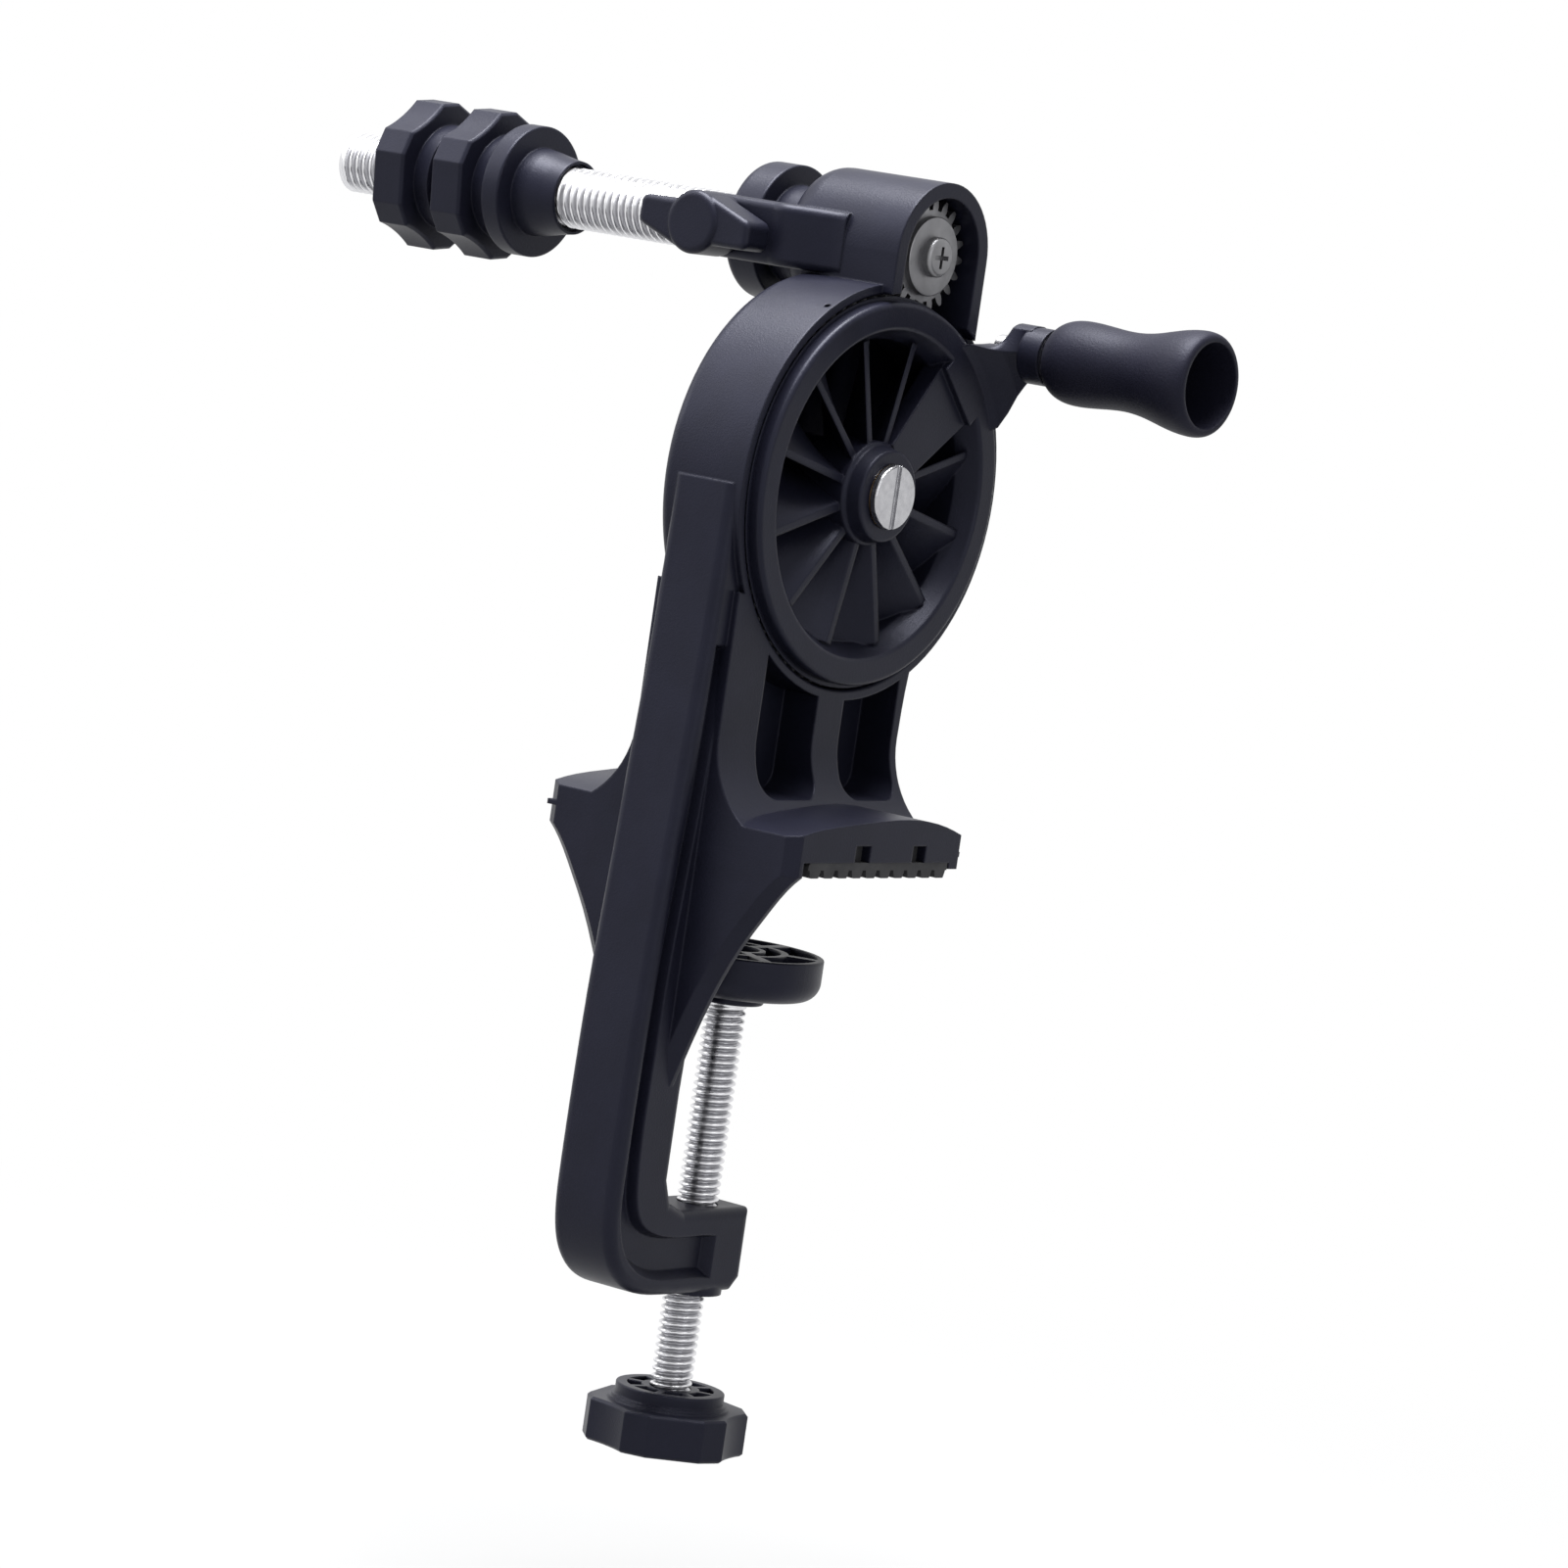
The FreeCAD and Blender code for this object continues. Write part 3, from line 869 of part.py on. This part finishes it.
os.makedirs("parts", exist_ok=True)
for name, make in PIECES.items():
    piece = make()
    piece.translate(V(-CLAMP_X, -CLAMP_Y, -(PAD_LOW - PAD_TOOTH_H)))
    piece.exportStep("parts/" + name + ".step")
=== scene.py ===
"""Looks of the clamp-on line winder: moulded, plated and rubber finishes, rolled threads on the two rods and
a lip behind the crank ring."""
import math

import bpy
import numpy as np
from mathutils import Matrix, Vector

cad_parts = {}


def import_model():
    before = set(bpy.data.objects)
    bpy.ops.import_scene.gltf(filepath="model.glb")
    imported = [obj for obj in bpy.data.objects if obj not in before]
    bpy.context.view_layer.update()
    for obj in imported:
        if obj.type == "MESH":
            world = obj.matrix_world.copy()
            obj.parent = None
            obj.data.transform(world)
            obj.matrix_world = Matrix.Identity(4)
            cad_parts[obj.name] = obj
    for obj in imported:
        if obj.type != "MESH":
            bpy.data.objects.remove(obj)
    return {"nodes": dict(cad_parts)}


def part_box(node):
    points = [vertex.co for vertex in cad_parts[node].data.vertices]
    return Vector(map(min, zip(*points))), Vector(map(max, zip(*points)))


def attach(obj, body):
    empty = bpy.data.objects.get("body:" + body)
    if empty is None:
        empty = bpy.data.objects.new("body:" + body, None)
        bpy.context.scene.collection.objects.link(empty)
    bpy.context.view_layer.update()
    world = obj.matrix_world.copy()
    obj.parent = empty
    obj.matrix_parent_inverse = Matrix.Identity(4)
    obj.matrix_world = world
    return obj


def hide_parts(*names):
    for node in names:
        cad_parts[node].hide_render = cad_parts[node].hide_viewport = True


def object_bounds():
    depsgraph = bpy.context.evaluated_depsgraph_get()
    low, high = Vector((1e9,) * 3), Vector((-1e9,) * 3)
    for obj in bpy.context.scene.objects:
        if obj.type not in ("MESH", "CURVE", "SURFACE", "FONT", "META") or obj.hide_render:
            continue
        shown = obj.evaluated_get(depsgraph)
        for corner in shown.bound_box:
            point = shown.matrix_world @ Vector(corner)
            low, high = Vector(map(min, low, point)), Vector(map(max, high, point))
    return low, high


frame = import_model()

CAD_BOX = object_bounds()
MM = 0.001

# ---- camera: eye point, heading, tilt down and roll in degrees, lens for a 36 mm wide square picture
EYE = Vector((0.803945, -1.068385, 0.148125))
HEADING, TILT, ROLL = 36.754, 5.757, -8.313
LENS, SENSOR = 162.76, 36.0
CLIP_NEAR, CLIP_FAR = 0.05, 50.0

# ---- threads, in metres
SPINDLE_PITCH, CLAMP_PITCH = 1.75 * MM, 1.5 * MM
THREAD_DEPTH = 0.56                        # share of the pitch
THREAD_ROWS, THREAD_COLUMNS = 12, 64       # rings of points for one pitch, points in a ring
FLANK_SLOPE, GROOVE_FLAT = 1.35, 0.16      # steepness of a flank, and how wide the groove's floor is
GROOVE = "groove_depth"                    # share of the full thread depth, kept on each point
SHARP_EDGE = math.radians(40.0)

# ---- rods, in metres: length and depth of the bevel at the tip, and steps down from the thread's radius
SPINDLE_TIP_LENGTH, SPINDLE_TIP_DEPTH = 0.9 * MM, 1.1 * MM
JOURNAL_STEP, PINION_SEAT_STEP = 1.0 * MM, 2.0 * MM
CLAMP_TIP_LENGTH, CLAMP_TIP_DEPTH = 0.8 * MM, 0.9 * MM
PIVOT_STEP, PIVOT_GAP = 1.0 * MM, 0.35 * MM

# ---- lip of the crank ring, in metres
LIP_WIDTH, LIP_THICKNESS, LIP_BEVEL = 1.2 * MM, 0.35 * MM, 0.1 * MM
LIP_COLUMNS = 192

# ---- finishes
EDGE_EASE = 0.6 * MM
EDGE_SAMPLES = 6
SHEEN_TINT = (0.78, 0.80, 1.0, 1.0)
NOISE_LOW, NOISE_HIGH = 0.3, 0.7           # stretch of a noise that a socket's two values are spread over

# ---- stage
FLOOR_HALF = 6.0
FLOOR_DROP = 40.0 * MM                     # room below the clamp knob when its screw is wound all the way out
FLOOR_FADE = (0.22, 0.50, 0.5)             # where the white grows from and to, and its share up to there
WHITE = (1.0, 1.0, 1.0, 1.0)
SKY, SKY_STRENGTH = (0.92, 0.94, 1.0, 1.0), 0.6
LAMPS = [                                  # name, place and width in metres, power in watts
    ("left_softbox", (-1.4, -0.7, 0.9), 1.2, 13.0),
    ("right_softbox", (1.6, -0.5, 0.5), 0.8, 4.0),
    ("top_softbox", (-0.2, -0.1, 1.5), 1.1, 108.0),
]


# ---- meshes from rings of points
def smooth_piece(name, points, faces):
    """New object at the origin, smooth but for the edges where its surface turns sharply."""
    mesh = bpy.data.meshes.new(name)
    mesh.from_pydata(points.tolist(), [], faces)
    mesh.polygons.foreach_set("use_smooth", np.ones(len(mesh.polygons), bool))
    mesh.set_sharp_from_angle(angle=SHARP_EDGE)
    piece = bpy.data.objects.new(name, mesh)
    bpy.context.scene.collection.objects.link(piece)
    return piece


def bands(rings, next_rings):
    """Four-sided faces from each ring of point numbers to the next, facing along ring x step to the next."""
    corners = [rings, np.roll(rings, -1, 1), np.roll(next_rings, -1, 1), next_rings]
    return np.stack(corners, -1).reshape(-1, 4).tolist()


def fan(ring, pole):
    """Triangles that close a ring of point numbers with one point."""
    return np.stack([ring, np.roll(ring, -1), np.full(len(ring), pole)], -1)


def ring_frame(axis):
    """Axis direction and the two directions across it, right-handed."""
    along = np.eye(3)["xyz".index(axis)]
    across = np.eye(3)[("xyz".index(axis) + 1) % 3]
    return along, across, np.cross(along, across)


def circle(u, v, columns):
    """Angles of a ring's points, and their directions u cos q + v sin q."""
    angle = np.linspace(0.0, 2 * math.pi, columns, endpoint=False)
    return angle, np.cos(angle)[:, None] * u + np.sin(angle)[:, None] * v


def threaded_rod(name, axis, centre, stretches, pitch):
    """Rod about an axis, closed at both ends. Each stretch is (start, end, radius, threaded). On a threaded
    one the radius at height h and angle q is the crest radius less the depth times a rounded groove of the
    phase h / pitch - q / 2 pi, and the groove fades out over the first and the last pitch."""
    along, u, v = ring_frame(axis)
    angle, directions = circle(u, v, THREAD_COLUMNS)
    heights, radii, depths = [], [], []
    for start, end, radius, threaded in stretches:
        count = max(2, int(round((end - start) / pitch * THREAD_ROWS)) + 1) if threaded else 2
        h = np.linspace(start, end, count)
        deep = np.zeros((count, THREAD_COLUMNS))
        if threaded:
            phase = (h[:, None] / pitch - angle[None] / (2 * math.pi)) % 1.0
            ridge = np.clip(np.abs(phase - 0.5) * 2.0 * FLANK_SLOPE - GROOVE_FLAT, 0.0, 1.0)
            ridge = ridge * ridge * (3 - 2 * ridge)
            fade = np.clip(np.minimum(h - start, end - h) / pitch, 0.0, 1.0)[:, None]
            deep = (1.0 - ridge) * fade
        heights.append(h)
        radii.append(radius - THREAD_DEPTH * pitch * deep)
        depths.append(deep)
    h, r = np.concatenate(heights), np.concatenate(radii)
    grid = np.array(centre) + h[:, None, None] * along + r[..., None] * directions
    poles = np.array([np.array(centre) + along * h[k] for k in (0, -1)])
    index = np.arange(r.size).reshape(r.shape)
    faces = bands(index[:-1], index[1:])
    faces += fan(index[0], r.size)[:, ::-1].tolist()
    faces += fan(index[-1], r.size + 1).tolist()
    piece = smooth_piece(name, np.concatenate([grid.reshape(-1, 3), poles]), faces)
    share = piece.data.attributes.new(GROOVE, "FLOAT", "POINT")
    share.data.foreach_set("value", np.append(np.concatenate(depths).ravel(), [0.0, 0.0]))
    return piece


def turned_ring(name, axis, centre, profile):
    """Closed ring: a corner (height, radius) of the profile lies at angle q at
    centre + height * axis + radius * (u cos q + v sin q). Seen with the axis to the right and the radius up,
    the corners run clockwise."""
    along, u, v = ring_frame(axis)
    directions = circle(u, v, LIP_COLUMNS)[1]
    height, radius = np.array(profile).T
    grid = np.array(centre) + height[:, None, None] * along + radius[:, None, None] * directions[None]
    index = np.arange(len(profile) * LIP_COLUMNS).reshape(-1, LIP_COLUMNS)
    return smooth_piece(name, grid.reshape(-1, 3), bands(index, np.roll(index, -1, 0)))


# ---- finishes
def material(name, colour, roughness, metallic=0.0, specular=0.5):
    """Principled surface with its plain values on the shader's own sockets."""
    made = bpy.data.materials.new(name)
    made.use_nodes = True
    shader = made.node_tree.nodes["Principled BSDF"]
    shader.inputs["Base Color"].default_value = (*colour, 1.0)
    shader.inputs["Roughness"].default_value = roughness
    shader.inputs["Metallic"].default_value = metallic
    shader.inputs["Specular IOR Level"].default_value = specular
    return made


def noise(made, scale, detail=3.0):
    """Noise in the object's own coordinates, with scale in waves to the metre."""
    tree = made.node_tree
    where = tree.nodes.new("ShaderNodeTexCoord")
    grain = tree.nodes.new("ShaderNodeTexNoise")
    grain.inputs["Scale"].default_value = scale
    grain.inputs["Detail"].default_value = detail
    tree.links.new(where.outputs["Object"], grain.inputs["Vector"])
    return grain


def colour_ramp(made, fac, stops):
    """Ramp of two (position, colour) stops over a value."""
    tree = made.node_tree
    ramp = tree.nodes.new("ShaderNodeValToRGB")
    for element, (position, colour) in zip(ramp.color_ramp.elements, stops):
        element.position = position
        element.color = (*colour, 1.0)
    tree.links.new(fac, ramp.inputs["Fac"])
    tree.links.new(ramp.outputs["Color"], tree.nodes["Principled BSDF"].inputs["Base Color"])


def vary_colour(made, source, low, high):
    """Lets a noise vary the base colour between two colours."""
    colour_ramp(made, source.outputs["Fac"], [(NOISE_LOW, low), (NOISE_HIGH, high)])


def vary_roughness(made, source, low, high):
    """Lets a noise vary the roughness between two values."""
    tree = made.node_tree
    spread = tree.nodes.new("ShaderNodeMapRange")
    spread.inputs["From Min"].default_value, spread.inputs["From Max"].default_value = NOISE_LOW, NOISE_HIGH
    spread.inputs["To Min"].default_value, spread.inputs["To Max"].default_value = low, high
    tree.links.new(source.outputs["Fac"], spread.inputs["Value"])
    tree.links.new(spread.outputs["Result"], tree.nodes["Principled BSDF"].inputs["Roughness"])


def bump(made, source, depth, edge_radius=0.0):
    """Fine relief from a noise, over edges that are eased by a small radius."""
    tree = made.node_tree
    node = tree.nodes.new("ShaderNodeBump")
    if edge_radius:
        edge = tree.nodes.new("ShaderNodeBevel")
        edge.samples = EDGE_SAMPLES
        edge.inputs["Radius"].default_value = edge_radius
        tree.links.new(edge.outputs["Normal"], node.inputs["Normal"])
    node.inputs["Distance"].default_value = depth
    tree.links.new(source.outputs["Fac"], node.inputs["Height"])
    tree.links.new(node.outputs["Normal"], tree.nodes["Principled BSDF"].inputs["Normal"])


def shaded(colour, share):
    return tuple(c * share for c in colour)


def moulded_plastic(name, colour, roughness, grain_scale=2600.0, grain_depth=0.03 * MM, specular=0.18):
    """Glass-filled nylon from a fine spark-eroded mould: even dark colour, slight gloss drift, fine grain."""
    made = material(name, colour, roughness, specular=specular)
    made.node_tree.nodes["Principled BSDF"].inputs["Specular Tint"].default_value = SHEEN_TINT
    vary_roughness(made, noise(made, scale=45.0), low=roughness - 0.05, high=roughness + 0.06)
    mottle = noise(made, scale=120.0, detail=4.0)
    vary_colour(made, mottle, low=shaded(colour, 0.88), high=shaded(colour, 1.12))
    bump(made, noise(made, scale=grain_scale, detail=2.0), grain_depth, EDGE_EASE)
    return made


def plated_steel():
    """Nickel plate with a slight haze and a mottled tone."""
    bright, roughness = (0.50, 0.50, 0.52), 0.24
    made = material("nickel_plate", bright, roughness, metallic=1.0)
    vary_roughness(made, noise(made, scale=300.0), low=roughness - 0.07, high=roughness + 0.08)
    vary_colour(made, noise(made, scale=700.0, detail=4.0), low=(0.40, 0.40, 0.42), high=bright)
    bump(made, noise(made, scale=1400.0, detail=2.0), 0.004 * MM, EDGE_EASE / 2)
    return made


def rolled_thread():
    """Nickel plate on a rolled thread: bright crests, grooves darkened by painted shade and by oil and dirt.
    """
    made = material("nickel_thread", (0.8, 0.8, 0.82), 0.2, metallic=1.0)
    groove = made.node_tree.nodes.new("ShaderNodeAttribute")
    groove.attribute_name = GROOVE
    # painted shade and dirt: the base colour darkens from the crests into the grooves
    crest, shaded_dirty_root = (0.74, 0.74, 0.76), (0.30, 0.30, 0.32)
    colour_ramp(made, groove.outputs["Fac"], [(0.25, crest), (1.0, shaded_dirty_root)])
    vary_roughness(made, noise(made, scale=500.0), low=0.26, high=0.42)
    bump(made, noise(made, scale=1600.0, detail=2.0), 0.004 * MM)
    return made


def cast_metal(name, colour, roughness):
    """Sintered or blackened metal: dull, uneven in tone, lightly pitted."""
    made = material(name, colour, roughness, metallic=1.0)
    vary_roughness(made, noise(made, scale=500.0), low=roughness - 0.08, high=roughness + 0.1)
    mottle = noise(made, scale=160.0, detail=4.0)
    vary_colour(made, mottle, low=shaded(colour, 0.8), high=shaded(colour, 1.1))
    bump(made, noise(made, scale=1800.0, detail=2.0), 0.01 * MM)
    return made


def rubber():
    made = material("jaw_rubber", (0.011, 0.011, 0.013), 0.75)
    vary_roughness(made, noise(made, scale=250.0), low=0.66, high=0.85)
    bump(made, noise(made, scale=3500.0, detail=2.0), 0.02 * MM)
    return made


BLACK = moulded_plastic("black_nylon", (0.0064, 0.0067, 0.0128), 0.40)
GRIP_BLACK = moulded_plastic("grip_plastic", (0.0060, 0.0060, 0.0118), 0.55, 1900.0, 0.05 * MM, 0.15)
GEAR_GREY = moulded_plastic("acetal_gear", (0.10, 0.10, 0.105), 0.4, 1500.0, 0.01 * MM)
PLATE = plated_steel()
THREAD = rolled_thread()
SINTERED_STEEL = cast_metal("sintered_steel", (0.22, 0.22, 0.23), 0.42)
DARK_STEEL = cast_metal("blackened_steel", (0.10, 0.10, 0.105), 0.38)
BRONZE = cast_metal("sintered_bronze", (0.42, 0.28, 0.15), 0.45)
RUBBER = rubber()

FINISHES = {
    "frame": BLACK, "crank_wheel": BLACK, "spool_flange": BLACK, "spool_cone": BLACK,
    "spool_nut_inner": BLACK, "spool_nut_outer": BLACK, "drag_knob": BLACK, "swivel_pad": BLACK,
    "clamp_knob": BLACK, "handle_grip": GRIP_BLACK, "upper_jaw_pad": RUBBER, "drag_shoe": RUBBER,
    "drive_gear": GEAR_GREY, "pinion_gear": SINTERED_STEEL, "pinion_washer": SINTERED_STEEL,
    "pinion_screw": SINTERED_STEEL, "hub_screw": PLATE, "crank_axle": PLATE, "handle_pin": PLATE,
    "handle_screw": DARK_STEEL, "handle_washer": PLATE, "gear_screws": PLATE, "nut_washer": DARK_STEEL,
    "flange_pin": PLATE, "drag_screw": PLATE, "pad_clip": PLATE, "spindle_shaft": PLATE,
    "clamp_screw": PLATE, "crank_bush": BRONZE, "spindle_bush_front": BRONZE, "spindle_bush_rear": BRONZE,
    "drag_insert": BRONZE, "clamp_insert": BRONZE,
}


def dress_nodes():
    for node, finish in FINISHES.items():
        slots = frame["nodes"][node].data.materials
        slots.clear()
        slots.append(finish)


# ---- new pieces
def spindle():
    low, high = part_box("spindle_shaft")
    radius = (high.z - low.z) / 2
    centre = (0.0, (low.y + high.y) / 2, (low.z + high.z) / 2)
    thread_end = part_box("spool_flange")[0].x
    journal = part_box("spindle_bush_rear")[0].x
    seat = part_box("pinion_gear")[0].x
    piece = threaded_rod("spindle_thread", "x", centre, [
        (low.x, low.x, radius - SPINDLE_TIP_DEPTH, False),
        (low.x + SPINDLE_TIP_LENGTH, thread_end, radius, True),
        (thread_end, journal, radius, False),
        (journal, seat, radius - JOURNAL_STEP, False),
        (seat, high.x, radius - PINION_SEAT_STEP, False)], SPINDLE_PITCH)
    piece.data.materials.append(THREAD)
    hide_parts("spindle_shaft")
    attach(piece, "spindle")


def clamp_rod():
    low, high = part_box("clamp_screw")
    radius = (high.x - low.x) / 2
    centre = ((low.x + high.x) / 2, (low.y + high.y) / 2, 0.0)
    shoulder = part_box("swivel_pad")[0].z - PIVOT_GAP
    piece = threaded_rod("clamp_thread", "z", centre, [
        (low.z, low.z, radius - CLAMP_TIP_DEPTH, False),
        (low.z + CLAMP_TIP_LENGTH, shoulder, radius, True),
        (shoulder, high.z, radius - PIVOT_STEP, False)], CLAMP_PITCH)
    piece.data.materials.append(THREAD)
    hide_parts("clamp_screw")
    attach(piece, "clamp_screw_and_knob")


def dust_lip():
    """Thin lip behind the ring's rim. It covers the gap to the case, in front of the gear teeth."""
    low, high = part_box("drive_gear")
    centre = (0.0, (low.y + high.y) / 2, (low.z + high.z) / 2)
    outer = (high.z - low.z) / 2
    inner = outer - LIP_WIDTH
    back, front = high.x, high.x + LIP_THICKNESS
    piece = turned_ring("crank_dust_lip", "x", centre, [
        (back, outer - LIP_BEVEL), (back + LIP_BEVEL, outer), (front - LIP_BEVEL, outer),
        (front, outer - LIP_BEVEL), (front, inner), (back, inner)])
    piece.data.materials.append(BLACK)
    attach(piece, "crank")


# ---- stage
def camera():
    a, e, r = (math.radians(x) for x in (HEADING, TILT, ROLL))
    right = Vector((math.cos(a), math.sin(a), 0.0))
    ahead = Vector((-math.sin(a) * math.cos(e), math.cos(a) * math.cos(e), -math.sin(e)))
    up = right.cross(ahead)
    side = math.cos(r) * right - math.sin(r) * up
    top = math.sin(r) * right + math.cos(r) * up
    turn = Matrix((side, top, -ahead)).transposed().to_4x4()
    data = bpy.data.cameras.new("camera")
    data.lens, data.sensor_width = LENS, SENSOR
    data.clip_start, data.clip_end = CLIP_NEAR, CLIP_FAR
    eye = bpy.data.objects.new("camera", data)
    eye.matrix_world = Matrix.Translation(EYE) @ turn
    bpy.context.scene.collection.objects.link(eye)
    bpy.context.scene.camera = eye


def shown_white(tree, lit, fade=None):
    """Mixes a shader with plain white for the rays that look at it, straight or by a mirror or glass. With a
    fade (near distance, far distance, near share) the share of white grows with distance from the origin."""
    path = tree.nodes.new("ShaderNodeLightPath")
    first, second = (tree.nodes.new("ShaderNodeMath") for _ in range(2))
    for node in (first, second):
        node.operation = "MAXIMUM"
    tree.links.new(path.outputs["Is Camera Ray"], first.inputs[0])
    tree.links.new(path.outputs["Is Glossy Ray"], first.inputs[1])
    tree.links.new(first.outputs[0], second.inputs[0])
    tree.links.new(path.outputs["Is Transmission Ray"], second.inputs[1])
    share = tree.nodes.new("ShaderNodeMath")
    share.operation = "MULTIPLY"
    tree.links.new(second.outputs[0], share.inputs[0])
    share.inputs[1].default_value = 1.0
    if fade:
        where = tree.nodes.new("ShaderNodeTexCoord")
        far = tree.nodes.new("ShaderNodeVectorMath")
        far.operation = "LENGTH"
        tree.links.new(where.outputs["Object"], far.inputs[0])
        spread = tree.nodes.new("ShaderNodeMapRange")
        spread.interpolation_type = "SMOOTHSTEP"
        for socket, value in zip(("From Min", "From Max", "To Min", "To Max"), (*fade, 1.0)):
            spread.inputs[socket].default_value = value
        tree.links.new(far.outputs["Value"], spread.inputs["Value"])
        tree.links.new(spread.outputs["Result"], share.inputs[1])
    mix = tree.nodes.new("ShaderNodeMixShader")
    tree.links.new(share.outputs[0], mix.inputs[0])
    tree.links.new(lit, mix.inputs[1])
    return mix


def world():
    made = bpy.data.worlds.new("studio")
    made.use_nodes = True
    tree = made.node_tree
    base = tree.nodes["Background"]
    base.inputs["Color"].default_value = SKY
    base.inputs["Strength"].default_value = SKY_STRENGTH
    seen = tree.nodes.new("ShaderNodeBackground")
    seen.inputs["Color"].default_value = WHITE
    mix = shown_white(tree, base.outputs[0])
    tree.links.new(seen.outputs[0], mix.inputs[2])
    tree.links.new(mix.outputs[0], tree.nodes["World Output"].inputs["Surface"])
    bpy.context.scene.world = made


def floor():
    z = CAD_BOX[0].z - FLOOR_DROP
    mesh = bpy.data.meshes.new("floor")
    corners = [(x * FLOOR_HALF, y * FLOOR_HALF, z) for x, y in ((-1, -1), (1, -1), (1, 1), (-1, 1))]
    mesh.from_pydata(corners, [], [(0, 1, 2, 3)])
    ground = bpy.data.objects.new("floor", mesh)
    bpy.context.scene.collection.objects.link(ground)
    made = material("pale_floor", (0.25, 0.25, 0.25), 0.9, specular=0.2)
    tree = made.node_tree
    seen = tree.nodes.new("ShaderNodeEmission")
    seen.inputs["Color"].default_value = WHITE
    mix = shown_white(tree, tree.nodes["Principled BSDF"].outputs[0], FLOOR_FADE)
    tree.links.new(seen.outputs[0], mix.inputs[2])
    tree.links.new(mix.outputs[0], tree.nodes["Material Output"].inputs["Surface"])
    mesh.materials.append(made)


def lamps():
    for name, spot, size, power in LAMPS:
        data = bpy.data.lights.new(name, "AREA")
        data.shape, data.size, data.energy = "SQUARE", size, power
        lamp = bpy.data.objects.new(name, data)
        lamp.location = spot
        lamp.rotation_euler = (-Vector(spot)).to_track_quat("-Z", "Y").to_euler()
        lamp.visible_camera = False
        bpy.context.scene.collection.objects.link(lamp)


camera()
world()
floor()
lamps()
dress_nodes()
spindle()
clamp_rod()
dust_lip()

bpy.context.scene.view_settings.view_transform = "Standard"
